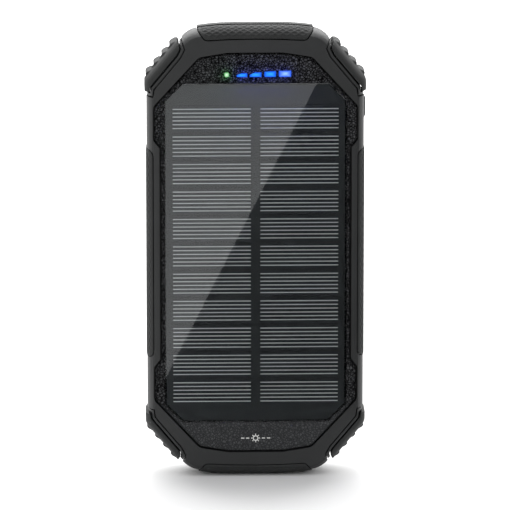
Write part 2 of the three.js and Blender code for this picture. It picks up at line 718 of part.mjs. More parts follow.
function batteryCell([front, back]) {
  const { half, bottom, top } = BATTERY;
  return softPlate(rectangle(-half, bottom, half, top, 1.5), front, back, 1.2);
}

// ---- Assembly ----
const charger = new THREE.Group();
charger.position.z = HALF_LENGTH;

function place(name, solid, material) {
  const mesh = new THREE.Mesh(toGeometry(solid), material());
  mesh.name = name;
  charger.add(mesh);
}

place('front_frame', frontFrame(), frameFinish);
place('rear_shell', rearShell(), frameFinish);
place('seal_ring', sealRing(0), rubberFinish);
SCREW_AT.forEach((at, i) => place(`case_screw_${i + 1}`, caseScrew(at), steelFinish));

place('front_cover', frontCover(), coverFinish);
place('panel_cover_sheet', plate(panelCorners(0), ...SHEET), sheetFinish);
place('solar_string_left', solarString(-1), cellFinish);
place('solar_string_right', solarString(1), cellFinish);
place('panel_backing_board', plate(panelCorners(0.4), ...BACKING), blackPlastic);

place('side_grip_left', sideGrip(-1), rubberFinish);
place('side_grip_right', sideGrip(1), rubberFinish);
const cornerNames = ['top_left', 'top_right', 'bottom_left', 'bottom_right'];
QUADRANTS.forEach(([signU, signV], i) => {
  place(`corner_bumper_${cornerNames[i]}`, cornerBumper(signU, signV), rubberFinish);
});
place('bottom_pad', bottomPad(), rubberFinish);
place('top_pad', topPad(), rubberFinish);
place('socket_cover', socketCover(), rubberFinish);
place('cover_strap', coverStrap(), rubberFinish);

place('power_button', powerButton(), rubberFinish);
place('switch_plunger', switchPlunger(), blackPlastic);
place('tact_switch', tactSwitch(), steelFinish);

place('status_lens', plate(statusOutline(0), LIGHTS.front, LIGHTS.back), greenLens);
place(
  'status_led',
  block(
    [STATUS.u - LED.half, STATUS.u + LED.half],
    [LED.front, LED.back],
    [STATUS.v - LED.half, STATUS.v + LED.half],
  ),
  ledWhite,
);
BARS.forEach((light, i) => {
  place(`charge_lens_${i + 1}`, plate(barOutline(light, 0), LIGHTS.front, LIGHTS.back), blueLens);
  place(`charge_led_${i + 1}`, chargeLed(light), ledWhite);
});
place(
  'indicator_board',
  block(
    [INDICATOR.left, INDICATOR.right],
    [INDICATOR.front, INDICATOR.back],
    [INDICATOR.bottom, INDICATOR.top],
  ),
  greenBoard,
);
place('board_header', block([-4, 4], [INDICATOR.back + 0.05, BOARD.front - 0.05], [63, 65.5]), blackPlastic);

place('main_board', mainBoard(), greenBoard);
for (const [side, name] of [[-1, 'left'], [1, 'right']]) {
  place(`usb_a_shell_${name}`, usbShell(side * USB_A.at), steelFinish);
  place(`usb_a_tongue_${name}`, usbTongue(side * USB_A.at), blackPlastic);
}
place('charge_port_shell', chargeShell(), steelFinish);
place('charge_port_tongue', chargeTongue(), blackPlastic);
const mount = BOARD.back + 0.05;
place('boost_inductor', softPlate(rectangle(8, 55, 15, 62, 1), mount, mount + 3.35, 0.5), ferrite);
place('controller_chip', softPlate(rectangle(-4, 56, 2, 62), mount, mount + 1, 0.15), blackPlastic);
place('output_capacitor', bar([-13, mount, 59], [-13, mount + 6.35, 59], 3.1, 20), pouchFinish);

place('battery_cell_front', batteryCell(BATTERY.layers[0]), pouchFinish);
place('battery_cell_rear', batteryCell(BATTERY.layers[1]), pouchFinish);
place('battery_tape', block([-25, 25], [0.95, 1.25], [-56, 40]), foamFinish);
place('battery_foam', block([-26, 26], [8.65, 8.95], [-57, 41]), foamFinish);
place('protection_board', block([-16, 16], [-5, -0.2], [45, 46.2]), greenBoard);
place('battery_lead_positive', batteryLead(-8), redWire);
place('battery_lead_negative', batteryLead(-4), blackPlastic);
place('panel_lead_positive', panelLead(-1.8), redWire);
place('panel_lead_negative', panelLead(1.8), blackPlastic);

export default charger;
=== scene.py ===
"""The looks of a rugged solar power bank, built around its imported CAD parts.

Metres, +Z up along the case, solar panel facing -Y, standing on its foot pad at Z = 0.
"""

import json
import math
from itertools import product

import bmesh
import bpy
import numpy as np
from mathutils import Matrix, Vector
from mathutils.kdtree import KDTree

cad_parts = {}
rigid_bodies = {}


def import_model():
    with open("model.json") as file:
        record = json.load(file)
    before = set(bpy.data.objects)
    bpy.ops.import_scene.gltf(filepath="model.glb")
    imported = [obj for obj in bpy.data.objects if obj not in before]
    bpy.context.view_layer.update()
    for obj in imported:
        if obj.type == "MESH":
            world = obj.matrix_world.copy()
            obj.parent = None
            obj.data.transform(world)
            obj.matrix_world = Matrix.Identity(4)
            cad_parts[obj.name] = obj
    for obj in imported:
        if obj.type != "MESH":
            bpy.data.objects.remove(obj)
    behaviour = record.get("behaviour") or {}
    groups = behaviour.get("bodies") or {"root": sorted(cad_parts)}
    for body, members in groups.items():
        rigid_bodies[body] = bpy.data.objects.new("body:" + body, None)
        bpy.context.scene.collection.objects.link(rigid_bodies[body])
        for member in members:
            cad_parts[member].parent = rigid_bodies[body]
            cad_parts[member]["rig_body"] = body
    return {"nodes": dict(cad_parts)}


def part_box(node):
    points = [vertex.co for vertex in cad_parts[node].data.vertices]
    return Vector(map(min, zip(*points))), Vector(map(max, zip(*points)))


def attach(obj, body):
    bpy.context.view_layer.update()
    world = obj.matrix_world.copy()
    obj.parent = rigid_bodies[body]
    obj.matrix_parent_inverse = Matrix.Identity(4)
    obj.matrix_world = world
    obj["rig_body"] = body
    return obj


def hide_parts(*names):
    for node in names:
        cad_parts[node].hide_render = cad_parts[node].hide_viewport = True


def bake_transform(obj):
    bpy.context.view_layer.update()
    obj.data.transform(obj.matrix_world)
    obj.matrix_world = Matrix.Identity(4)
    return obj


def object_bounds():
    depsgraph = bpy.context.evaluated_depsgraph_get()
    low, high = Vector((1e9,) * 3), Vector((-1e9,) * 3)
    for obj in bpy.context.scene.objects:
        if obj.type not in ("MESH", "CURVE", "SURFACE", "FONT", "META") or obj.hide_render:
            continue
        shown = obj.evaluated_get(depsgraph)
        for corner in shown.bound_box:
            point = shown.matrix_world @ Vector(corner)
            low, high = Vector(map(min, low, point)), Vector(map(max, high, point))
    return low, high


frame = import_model()
cad_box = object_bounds()
NODES = frame["nodes"]
SCENE = bpy.context.scene

MM = 0.001
CASE_LOW, CASE_HIGH = cad_box
HALF_LENGTH = (CASE_HIGH.z - CASE_LOW.z) / 2
MIDDLE_Z = (CASE_HIGH.z + CASE_LOW.z) / 2

SLOT_OF = {name: node.data.materials[0].name for name, node in NODES.items()}
BODY_OF = {name: node["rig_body"] for name, node in NODES.items()}


# ---- Materials ----
class Shader:
    """One procedural material. Every texture reads the object's own coordinates, in metres."""

    def __init__(self, name):
        self.material = bpy.data.materials.new(name)
        self.material.use_nodes = True
        self.tree = self.material.node_tree
        self.tree.nodes.clear()
        self.output = self.node("OutputMaterial")
        self.surface = self.node("BsdfPrincipled")
        self.link(self.surface.outputs["BSDF"], self.output.inputs["Surface"])
        self.place = self.node("TexCoord").outputs["Object"]

    def node(self, kind, **settings):
        made = self.tree.nodes.new(f"ShaderNode{kind}")
        for key, value in settings.items():
            setattr(made, key, value)
        return made

    def link(self, source, target):
        self.tree.links.new(source, target)

    def feed(self, target, value):
        if isinstance(value, bpy.types.NodeSocket):
            self.link(value, target)
        else:
            target.default_value = value

    def set(self, **values):
        for key, value in values.items():
            self.feed(self.surface.inputs[key.replace("_", " ")], value)

    def stretched(self, x, y, z):
        mapping = self.node("Mapping")
        self.link(self.place, mapping.inputs["Vector"])
        mapping.inputs["Scale"].default_value = (x, y, z)
        return mapping.outputs["Vector"]

    def noise(self, size, detail=2.0, roughness=0.5, place=None):
        noise = self.node("TexNoise")
        self.link(place or self.place, noise.inputs["Vector"])
        noise.inputs["Scale"].default_value = 1 / size
        noise.inputs["Detail"].default_value = detail
        noise.inputs["Roughness"].default_value = roughness
        return noise.outputs["Fac"]

    def cells(self, size, feature="F1", place=None, output="Distance"):
        cells = self.node("TexVoronoi", feature=feature)
        self.link(place or self.place, cells.inputs["Vector"])
        cells.inputs["Scale"].default_value = 1 / size
        return cells.outputs[output]

    def span(self, value, start, end, low=0.0, high=1.0, smooth=False):
        """value mapped from start..end to low..high, and held at the ends."""
        spread = self.node("MapRange", clamp=True)
        if smooth:
            spread.interpolation_type = "SMOOTHSTEP"
        self.feed(spread.inputs["Value"], value)
        for key, number in (("From Min", start), ("From Max", end), ("To Min", low), ("To Max", high)):
            spread.inputs[key].default_value = number
        return spread.outputs["Result"]

    def math(self, operation, a, b=0.0):
        sum_node = self.node("Math", operation=operation)
        self.feed(sum_node.inputs[0], a)
        self.feed(sum_node.inputs[1], b)
        return sum_node.outputs[0]

    def mix(self, factor, a, b):
        blend = self.node("Mix", data_type="RGBA")
        self.feed(blend.inputs["Factor"], factor)
        self.feed(blend.inputs[6], a if isinstance(a, bpy.types.NodeSocket) else (*a, 1))
        self.feed(blend.inputs[7], b if isinstance(b, bpy.types.NodeSocket) else (*b, 1))
        return blend.outputs[2]

    def axis(self, name, vector=None):
        split = self.node("SeparateXYZ")
        self.link(vector or self.place, split.inputs[0])
        return split.outputs[name]

    def convexity(self, start, end):
        return self.span(self.node("NewGeometry").outputs["Pointiness"], start, end)

    def bump(self, height, depth, below=None):
        bump = self.node("Bump")
        bump.inputs["Strength"].default_value = 1.0
        bump.inputs["Distance"].default_value = depth
        self.link(height, bump.inputs["Height"])
        if below is not None:
            self.link(below, bump.inputs["Normal"])
        self.link(bump.outputs["Normal"], self.surface.inputs["Normal"])
        return bump.outputs["Normal"]


# Pointiness range over which convex edges are painted paler: partly abrasion, partly a painted highlight.
WEAR_AND_HIGHLIGHT_EDGE = (0.53, 0.64)


def moulded(name, dark, light, roughness, grain, depth, specular=0.35, wear_and_highlight=None, speckle=0.25):
    """A moulded plastic or rubber: mottled colour, a fine spark-eroded grain and paler convex edges, partly
    abrasion and partly a painted highlight.
    """
    shader = Shader(name)
    cloud = shader.noise(9 * MM, detail=4)
    fine = shader.noise(grain, detail=3, roughness=0.65)
    tone = shader.mix(shader.span(cloud, 0.3, 0.7), dark, light)
    pale = tuple(min(1.0, value * 1.9) for value in light)
    tone = shader.mix(shader.span(fine, 0.5, 0.75, 0, speckle), tone, pale)
    # Paler convex edges: partly abrasion, partly a painted edge highlight.
    if wear_and_highlight:
        uneven = shader.span(cloud, 0.35, 0.6, 0.35, 1.0)
        rubbed_and_lit = shader.math("MULTIPLY", shader.convexity(*WEAR_AND_HIGHLIGHT_EDGE), uneven)
        tone = shader.mix(rubbed_and_lit, tone, wear_and_highlight)
    shader.set(Base_Color=tone, Specular_IOR_Level=specular)
    shader.set(Roughness=shader.span(fine, 0.3, 0.7, *roughness))
    shader.bump(fine, depth)
    return shader


def grained(name, dark, light, pebble, depth, specular, roughness=(0.4, 0.62)):
    """A leather grain: rounded pebbles of uneven size between dark creases, the creases darkened as painted
    shade and the pebble tops paler with painted glints of uneven strength.

    Near the foot the grain is painted paler, as painted light bounced up from the floor.
    """
    shader = Shader(name)
    # Painted light: the grain is painted paler towards the foot, as if lit from the floor.
    painted_foot_light = shader.span(shader.axis("Z"), 30 * MM, 20 * MM)
    drift = shader.noise(2.2 * MM, detail=3)
    bend = shader.node("TexNoise")
    shader.link(shader.place, bend.inputs["Vector"])
    bend.inputs["Scale"].default_value = 1 / (1.3 * MM)
    push = shader.node("VectorMath", operation="SCALE")
    shader.link(bend.outputs["Color"], push.inputs[0])
    push.inputs["Scale"].default_value = 0.8 * MM
    place = shader.node("VectorMath", operation="ADD")
    shader.link(shader.place, place.inputs[0])
    shader.link(push.outputs[0], place.inputs[1])
    crease = shader.cells(pebble, "DISTANCE_TO_EDGE", place.outputs[0])
    dimple = shader.cells(pebble * 0.5, "F1", place.outputs[0])
    top = shader.span(crease, 0.03, 0.22, smooth=True)
    height = shader.math("SUBTRACT", top, shader.math("MULTIPLY", dimple, 0.15))
    # Painted light and shade: pebble tops painted pale, each with painted glints of its own strength, and
    # creases painted dark where shade falls.
    painted_glint_level = shader.axis("X", shader.cells(pebble, "F1", place.outputs[0], "Color"))
    lit = shader.math("MULTIPLY", top, shader.span(painted_glint_level, 0.0, 1.0, 0.35, 1.0))
    tone = shader.mix(shader.math("MULTIPLY", lit, shader.span(drift, 0.3, 0.7, 0.7, 1.0)), dark, light)
    # Painted light: paler towards the foot.
    tone = shader.mix(shader.math("MULTIPLY", painted_foot_light, 0.4), tone, tuple(value * 1.2 for value in light))
    shader.set(Base_Color=tone, Specular_IOR_Level=shader.span(crease, 0.03, 0.22, 0.0, specular))
    shader.set(Roughness=shader.span(dimple, 0.1, 0.7, *roughness))
    shader.bump(height, depth)
    return shader


def clear_sheet():
    """A clear cast sheet: glass to the eye, open to the lamps that light what is under it."""
    shader = Shader("clear_cast_sheet")
    smear = shader.noise(22 * MM, detail=3)
    shader.set(Base_Color=(0.93, 0.96, 0.97, 1), IOR=1.38, Transmission_Weight=1.0)
    shader.set(Roughness=shader.span(smear, 0.3, 0.7, 0.002, 0.006))
    open_side = shader.node("BsdfTransparent")
    path = shader.node("LightPath")
    choice = shader.node("MixShader")
    shader.link(path.outputs["Is Shadow Ray"], choice.inputs[0])
    shader.link(shader.surface.outputs["BSDF"], choice.inputs[1])
    shader.link(open_side.outputs["BSDF"], choice.inputs[2])
    shader.link(choice.outputs["Shader"], shader.output.inputs["Surface"])
    return shader


def silicon():
    """Solar cell: nearly black blue-grey wafer, very slightly cloudy from cell to cell."""
    shader = Shader("solar_cell_silicon")
    cloud = shader.noise(14 * MM, detail=3)
    tone = shader.mix(shader.span(cloud, 0.3, 0.7), (0.037, 0.039, 0.042), (0.044, 0.046, 0.049))
    shader.set(Base_Color=tone, Specular_IOR_Level=0.15)
    shader.set(Roughness=shader.span(cloud, 0.3, 0.7, 0.42, 0.5))
    return shader


def metal(name, dark, light, roughness, scratch):
    """Plated steel or foil: fine drawn lines, slightly uneven shine."""
    shader = Shader(name)
    lines = shader.noise(1.0, detail=2, place=shader.stretched(*scratch))
    cloud = shader.noise(5 * MM, detail=3)
    shader.set(Base_Color=shader.mix(shader.span(cloud, 0.3, 0.7), dark, light), Metallic=1.0)
    shader.set(Roughness=shader.span(lines, 0.3, 0.7, *roughness))
    shader.bump(lines, 0.01 * MM)
    return shader


def solder_mask():
    """Circuit board: green mask over faintly raised copper tracks, with bright pads."""
    shader = Shader("green_solder_mask")
    track = shader.cells(2.2 * MM, "DISTANCE_TO_EDGE")
    pads = shader.cells(1.6 * MM, "F1")
    tone = shader.mix(shader.span(track, 0.05, 0.07), (0.03, 0.17, 0.07), (0.012, 0.085, 0.035))
    tone = shader.mix(shader.span(pads, 0.14, 0.12), tone, (0.55, 0.5, 0.38))
    shader.set(Base_Color=tone, Roughness=shader.span(track, 0.05, 0.07, 0.3, 0.42))
    shader.bump(shader.span(track, 0.05, 0.07, 1, 0), 0.03 * MM)
    return shader


def lit_lens(name, core, rim, strength, hottest=None):
    """A lit light pipe: hot in the middle of each lens and deeper in colour towards its edges.

    hottest is the place along the case's width from which the lamps shine whiter.
    """
    shader = Shader(name)
    haze = shader.noise(1.1 * MM, detail=2)
    across_lens = shader.node("TexCoord").outputs["Generated"]
    offsets = [
        shader.math("ABSOLUTE", shader.math("SUBTRACT", shader.axis(way, across_lens), 0.5))
        for way in ("X", "Z")
    ]
    away = shader.math("MAXIMUM", *offsets)
    if hottest is not None:
        white = tuple(0.4 + 0.6 * value for value in core)
        core = shader.mix(shader.span(shader.axis("X"), hottest, hottest + 0.2 * MM, 0.0, 0.8), core, white)
    tone = shader.mix(shader.span(away, 0.12, 0.5), core, rim)
    tone = shader.mix(shader.span(haze, 0.4, 0.7, 0.0, 0.3), tone, rim)
    shader.set(Base_Color=(0.004, 0.008, 0.016, 1), Roughness=0.4, Emission_Color=tone)
    shader.set(Emission_Strength=strength, Specular_IOR_Level=0.15)
    shader.bump(haze, 0.02 * MM)
    return shader


def print_ink(name, tone, shade):
    """Pad-printed ink or silver paste: a thin slightly broken film."""
    shader = Shader(name)
    speck = shader.noise(0.12 * MM, detail=3)
    shader.set(Base_Color=shader.mix(shader.span(speck, 0.35, 0.6), shade, tone), Roughness=0.5)
    shader.bump(speck, 0.01 * MM)
    return shader


MATERIALS = {
    "frame_plastic": moulded(
        "soft_touch_plastic", (0.0125, 0.0133, 0.0138), (0.0155, 0.0165, 0.017), (0.44, 0.6),
        grain=0.22 * MM, depth=0.02 * MM, specular=0.42,
    ),
    "cover_plastic": grained(
        # The dark colour is painted shade in the creases and the light one is painted light on the pebble
        # tops.
        "leather_grain_plastic", (0.001, 0.001, 0.0012), (0.06, 0.062, 0.065), 0.9 * MM, 0.16 * MM, 0.2,
    ),
    # Its pale edge colour is partly abrasion and partly a painted edge highlight.
    "bumper_rubber": moulded(
        "bumper_elastomer", (0.0105, 0.0115, 0.0115), (0.015, 0.016, 0.016), (0.6, 0.8),
        grain=0.18 * MM, depth=0.025 * MM, specular=0.4, wear_and_highlight=(0.05, 0.054, 0.054),
    ),
    # Its pale edge colour is partly abrasion and partly a painted edge highlight.
    "button_rubber": moulded(
        "button_elastomer", (0.011, 0.012, 0.012), (0.016, 0.017, 0.017), (0.6, 0.78),
        grain=0.2 * MM, depth=0.02 * MM, wear_and_highlight=(0.04, 0.042, 0.042),
    ),
    "seal_silicone": moulded(
        "seal_silicone_rubber", (0.008, 0.008, 0.008), (0.014, 0.014, 0.014), (0.45, 0.6),
        grain=0.4 * MM, depth=0.015 * MM,
    ),
    "panel_sheet": clear_sheet(),
    "solar_cell": silicon(),
    "panel_board": moulded(
        "black_backing_laminate", (0.04, 0.042, 0.044), (0.045, 0.047, 0.049), (0.4, 0.5),
        grain=0.5 * MM, depth=0.0005 * MM, specular=0.15, speckle=0.02,
    ),
    "circuit_board": solder_mask(),
    "screw_steel": metal(
        "zinc_plated_steel", (0.3, 0.3, 0.31), (0.42, 0.42, 0.43), (0.3, 0.45), (900, 900, 900),
    ),
    "socket_steel": metal(
        "nickel_plated_sheet", (0.5, 0.5, 0.5), (0.62, 0.61, 0.6), (0.18, 0.32), (6000, 6000, 300),
    ),
    "socket_plastic": moulded(
        "black_nylon", (0.008, 0.008, 0.009), (0.014, 0.014, 0.015), (0.35, 0.5),
        grain=0.3 * MM, depth=0.01 * MM,
    ),
    "cell_foil": metal(
        "satin_pouch_foil", (0.5, 0.51, 0.52), (0.62, 0.63, 0.64), (0.28, 0.42), (300, 300, 2500),
    ),
    "foam_tape": moulded(
        "open_cell_foam", (0.012, 0.012, 0.012), (0.04, 0.04, 0.038), (0.85, 0.98),
        grain=0.5 * MM, depth=0.15 * MM,
    ),
    "ferrite": moulded(
        "pressed_ferrite", (0.04, 0.04, 0.044), (0.075, 0.075, 0.08), (0.6, 0.8),
        grain=0.25 * MM, depth=0.03 * MM,
    ),
    "wire_red": moulded(
        "red_insulation", (0.38, 0.012, 0.01), (0.5, 0.02, 0.018), (0.3, 0.4),
        grain=0.6 * MM, depth=0.01 * MM, speckle=0.05,
    ),
    "wire_black": moulded(
        "black_insulation", (0.008, 0.008, 0.008), (0.014, 0.014, 0.014), (0.3, 0.4),
        grain=0.6 * MM, depth=0.01 * MM,
    ),
    "lens_blue": lit_lens("lit_blue_lens", (0.03, 0.42, 1.0), (0.0, 0.09, 0.9), 1.0, hottest=8 * MM),
    "lens_green": lit_lens("lit_green_lens", (0.75, 1.0, 0.75), (0.02, 0.35, 0.04), 1.0),
    "led_body": moulded(
        "white_chip_body", (0.6, 0.6, 0.56), (0.78, 0.78, 0.74), (0.4, 0.55),
        grain=0.2 * MM, depth=0.01 * MM,
    ),
}
PRINT = print_ink("white_pad_print", (0.82, 0.82, 0.8), (0.6, 0.6, 0.58)).material
SILVER = print_ink("silver_finger_paste", (0.8, 0.81, 0.8), (0.62, 0.63, 0.62)).material


def material_of(node):
    return MATERIALS[SLOT_OF[node]].material


# ---- Pieces ----
WELD = {"reach": 0.002 * MM, "flat": math.radians(0.5)}
CREASE_ANGLE = math.radians(40)


def new_object(name, data):
    piece = bpy.data.objects.new(name, data)
    SCENE.collection.objects.link(piece)
    return piece


def written(shape, mesh):
    """Puts an edited shape into a mesh and lets the shape go."""
    shape.to_mesh(mesh)
    shape.free()
    return mesh


def welded_copy(node):
    """The CAD node's shape as a new object, its shared corners joined."""
    mesh = NODES[node].data.copy()
    shape = bmesh.new()
    shape.from_mesh(mesh)
    bmesh.ops.remove_doubles(shape, verts=shape.verts, dist=WELD["reach"])
    bmesh.ops.dissolve_limit(
        shape, angle_limit=WELD["flat"], verts=shape.verts, edges=shape.edges,
        use_dissolve_boundaries=False,
    )
    return new_object(f"{node}_skin", written(shape, mesh))


def stand_for(piece, node):
    """Dresses a finished piece and puts it in place of its CAD node."""
    piece.data.materials.clear()
    piece.data.materials.append(material_of(node))
    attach(piece, BODY_OF[node])
    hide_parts(node)


def add_print(name, shape, material):
    """A printed film, fixed to the case."""
    piece = new_object(name, written(shape, bpy.data.meshes.new(name)))
    piece.data.materials.append(material)
    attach(piece, "case")


def soften_edges(piece, width, least_angle=28, least_length=0.25 * MM):
    """Rounds the sharp edges of a moulded part, and shades it smoothly across them."""
    shape = bmesh.new()
    shape.from_mesh(piece.data)
    sharp = [
        edge for edge in shape.edges
        if len(edge.link_faces) == 2
        and edge.calc_face_angle(0.0) > math.radians(least_angle)
        and edge.calc_length() > least_length
    ]
    bmesh.ops.bevel(
        shape, geom=sharp, offset=width, offset_type="OFFSET", segments=2, profile=0.6,
        affect="EDGES", clamp_overlap=True,
    )
    written(shape, piece.data)
    piece.data.shade_smooth()
    piece.data.set_sharp_from_angle(angle=CREASE_ANGLE)
    piece.modifiers.new("even_normals", "WEIGHTED_NORMAL").keep_sharp = True


def remesh(piece, voxel, rounds):
    """The piece as one even fine net, its edges rounded by a few rounds of smoothing."""
    modifier = piece.modifiers.new("net", "REMESH")
    modifier.mode = "VOXEL"
    modifier.voxel_size = voxel
    smooth = piece.modifiers.new("round", "SMOOTH")
    smooth.factor = 0.5
    smooth.iterations = rounds
    settle(piece)


def softened(node, width, **limits):
    """The CAD node's own shape with its edges rounded, in place of the node."""
    piece = welded_copy(node)
    soften_edges(piece, width, **limits)
    stand_for(piece, node)


def settle(piece):
    """Makes the piece's modifiers part of its mesh."""
    shown = piece.evaluated_get(bpy.context.evaluated_depsgraph_get())
    mesh = bpy.data.meshes.new_from_object(shown)
    piece.modifiers.clear()
    piece.data = mesh
    mesh.shade_smooth()


def points_of(mesh):
    flat = np.empty(len(mesh.vertices) * 3)
    mesh.vertices.foreach_get("co", flat)
    return flat.reshape(-1, 3)


def normals_of(mesh):
    flat = np.empty(len(mesh.vertices) * 3)
    mesh.vertex_normals.foreach_get("vector", flat)
    return flat.reshape(-1, 3)


def smoothstep(value, start, end):
    share = np.clip((value - start) / (end - start), 0, 1)
    return share * share * (3 - 2 * share)


KNURL = {
    "pitch": 2.8 * MM, "ridge": 0.26, "crest": 0.35, "height": 0.22 * MM,
    "rim": 0.75 * MM, "fade": 0.5 * MM, "facing": (0.5, 0.8),
}


def knurl(piece, along, across, outside):
    """Cuts shallow diamonds into a rubber skin, leaving crossing ridges and a smooth rim.

    along and across give each point's place on the skin, and outside how squarely it faces outwards.
    """
    points = points_of(piece.data)
    normals = normals_of(piece.data)
    s, t = along(points) / KNURL["pitch"], across(points) / KNURL["pitch"]
    facing = outside(points, normals)
    ridge = np.zeros(len(points))
    for family in (s + t, s - t):
        away = np.abs(family - np.round(family))
        crest = KNURL["ridge"] * KNURL["crest"]
        ridge = np.maximum(ridge, 1 - smoothstep(away, crest, KNURL["ridge"]))
    skin = facing > KNURL["facing"][0]
    edge = KDTree(int((~skin).sum()))
    for index in np.flatnonzero(~skin):
        edge.insert(points[index], index)
    edge.balance()
    rim = np.zeros(len(points))
    for index in np.flatnonzero(skin):
        rim[index] = edge.find(points[index])[2]
    inner = smoothstep(rim, KNURL["rim"], KNURL["rim"] + KNURL["fade"])
    inner *= smoothstep(facing, *KNURL["facing"])
    depth = KNURL["height"] * (1 - ridge) * inner
    points -= normals * depth[:, None]
    piece.data.vertices.foreach_set("co", points.ravel())
    piece.data.update()


# ---- Rubber ----
VOXEL = 0.3 * MM
KNURLED_ROUNDS = 3
BUMPER_ROUNDS = 2
# Depth from the mid-plane at which a wrapped skin faces half outwards and half to the front or back.
TURN_DEPTH = 7 * MM


def grip_skin(node, side):
    """C-shaped side grip: its skin runs from the front edge, round the side, to the back edge."""
    piece = welded_copy(node)
    remesh(piece, VOXEL, KNURLED_ROUNDS)
    outer = abs(CASE_HIGH.x) if side > 0 else abs(CASE_LOW.x)

    def across(points):
        inward = outer - np.abs(points[:, 0])
        return points[:, 1] + np.sign(points[:, 1]) * inward

    def outside(points, normals):
        away = np.stack([side * np.ones(len(points)), points[:, 1] / TURN_DEPTH], 1)
        away /= np.linalg.norm(away, axis=1)[:, None]
        return (normals[:, :2] * away).sum(1)

    knurl(piece, lambda points: points[:, 2] - MIDDLE_Z, across, outside)
    stand_for(piece, node)


def end_skin(node, sign):
    """Rubber cap over one end: its skin runs from the front tab, over the end, to the back tab."""
    piece = welded_copy(node)
    remesh(piece, VOXEL, KNURLED_ROUNDS)

    def across(points):
        inward = HALF_LENGTH - np.abs(points[:, 2] - MIDDLE_Z)
        return points[:, 1] + np.sign(points[:, 1]) * inward

    def outside(points, normals):
        away = np.stack([points[:, 1] / TURN_DEPTH, sign * np.ones(len(points))], 1)
        away /= np.linalg.norm(away, axis=1)[:, None]
        return (normals[:, 1:] * away).sum(1)

    knurl(piece, lambda points: points[:, 0], across, outside)
    stand_for(piece, node)


for side, word in ((-1, "left"), (1, "right")):
    grip_skin(f"side_grip_{word}", side)
    for end in ("top", "bottom"):
        bumper = f"corner_bumper_{end}_{word}"
        skin = welded_copy(bumper)
        remesh(skin, VOXEL, BUMPER_ROUNDS)
        stand_for(skin, bumper)
end_skin("bottom_pad", -1)
end_skin("top_pad", 1)

# ---- Moulded parts that keep their shape, with rounded edges ----
CHARGE_LENSES = [f"charge_lens_{index}" for index in range(1, 5)]
EDGE_ROUND = {
    0.2 * MM: ["socket_cover", "cover_strap", "power_button"],
    0.14 * MM: ["front_frame", "rear_shell"],
    0.12 * MM: ["front_cover", *CHARGE_LENSES],
}
for width, nodes in EDGE_ROUND.items():
    for node in nodes:
        softened(node, width)
softened("status_lens", 0.15 * MM, least_angle=40)

# ---- Solar cells: printed silver fingers under the clear sheet ----
FINGERS = {"groups": 11, "lines": 6, "pitch": 10.15 * MM, "gap": 1.405 * MM, "first": 53.4 * MM}
FINGER = {
    "inner": 1.75 * MM, "outer": 29.9 * MM, "height": 0.34 * MM, "film": 0.03 * MM, "air": 0.001 * MM,
}
BOX_FACES = ((0, 1, 3, 2), (4, 6, 7, 5), (0, 4, 5, 1), (2, 3, 7, 6), (0, 2, 6, 4), (1, 5, 7, 3))


def add_box(shape, low, high):
    corners = [shape.verts.new(corner) for corner in product(*zip(low, high))]
    for face in BOX_FACES:
        shape.faces.new([corners[i] for i in face])


def finger_print(name, side):
    """Six thin lines across every cell of one string, on the cells' front face."""
    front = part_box(name)[0].y
    shape = bmesh.new()
    for group in range(FINGERS["groups"]):
        for line in range(FINGERS["lines"]):
            z = MIDDLE_Z + FINGERS["first"] - group * FINGERS["pitch"] - line * FINGERS["gap"]
            ends = sorted((side * FINGER["inner"], side * FINGER["outer"]))
            add_box(
                shape,
                (ends[0], front - FINGER["film"], z - FINGER["height"] / 2),
                (ends[1], front - FINGER["air"], z + FINGER["height"] / 2),
            )
    add_print(f"{name}_fingers", shape, SILVER)


finger_print("solar_string_left", -1)
finger_print("solar_string_right", 1)


# ---- Generic sun mark printed under the panel ----
MARK = {
    "below": 69.0 * MM, "ring": 0.85 * MM, "stroke": 0.32 * MM, "film": 0.02 * MM,
    "rays": 8, "ray": (1.15 * MM, 1.6 * MM), "ring_steps": 32,
}
DASHES = ((2.3 * MM, 3.5 * MM), (4.1 * MM, 5.3 * MM))


def sun_mark():
    """A ring with eight short rays, and two dashes to each side: a plain sign for solar charging."""
    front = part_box("front_cover")[0].y
    middle = Vector((0, 0, MIDDLE_Z - MARK["below"]))
    depths = (front - MARK["film"], front + MARK["film"])
    shape = bmesh.new()

    def ribbon(path, closed):
        half = MARK["stroke"] / 2
        count = len(path)
        rails = []
        for i, point in enumerate(path):
            before = path[(i - 1) % count] if closed or i else point
            after = path[(i + 1) % count] if closed or i + 1 < count else point
            ahead = (after - before).normalized()
            side = Vector((-ahead.z, 0, ahead.x)) * half
            rails.append([
                shape.verts.new(middle + point + offset + Vector((0, y, 0)))
                for offset in (side, -side) for y in depths
            ])
        for i in range(count if closed else count - 1):
            here, there = rails[i], rails[(i + 1) % count]
            for a, b in ((0, 2), (2, 3), (3, 1), (1, 0)):
                shape.faces.new((here[a], here[b], there[b], there[a]))
        if not closed:
            for rail in (rails[0], rails[-1]):
                shape.faces.new((rail[0], rail[1], rail[3], rail[2]))

    def spokes(count):
        angles = [2 * math.pi * k / count for k in range(count)]
        return [Vector((math.cos(angle), 0, math.sin(angle))) for angle in angles]

    ribbon([ahead * MARK["ring"] for ahead in spokes(MARK["ring_steps"])], True)
    for ahead in spokes(MARK["rays"]):
        ribbon([ahead * reach for reach in MARK["ray"]], False)
    for side in (-1, 1):
        for start, end in DASHES:
            ribbon([Vector((side * start, 0, 0)), Vector((side * end, 0, 0))], False)
    bmesh.ops.recalc_face_normals(shape, faces=shape.faces)
    add_print("sun_mark", shape, PRINT)


sun_mark()


# ---- Living hinge between the strap and the socket cover ----
WEB = {
    "side": 0.6 * MM, "below": 0.8 * MM, "above": 1.1 * MM, "inset": 0.25 * MM, "thick": 0.5 * MM,
    "crease": 0.18 * MM, "crease_reach": 0.35 * MM, "inner_crease": 0.4, "bend": 0.3 * MM,
    "rows": 12, "columns": 16,
}


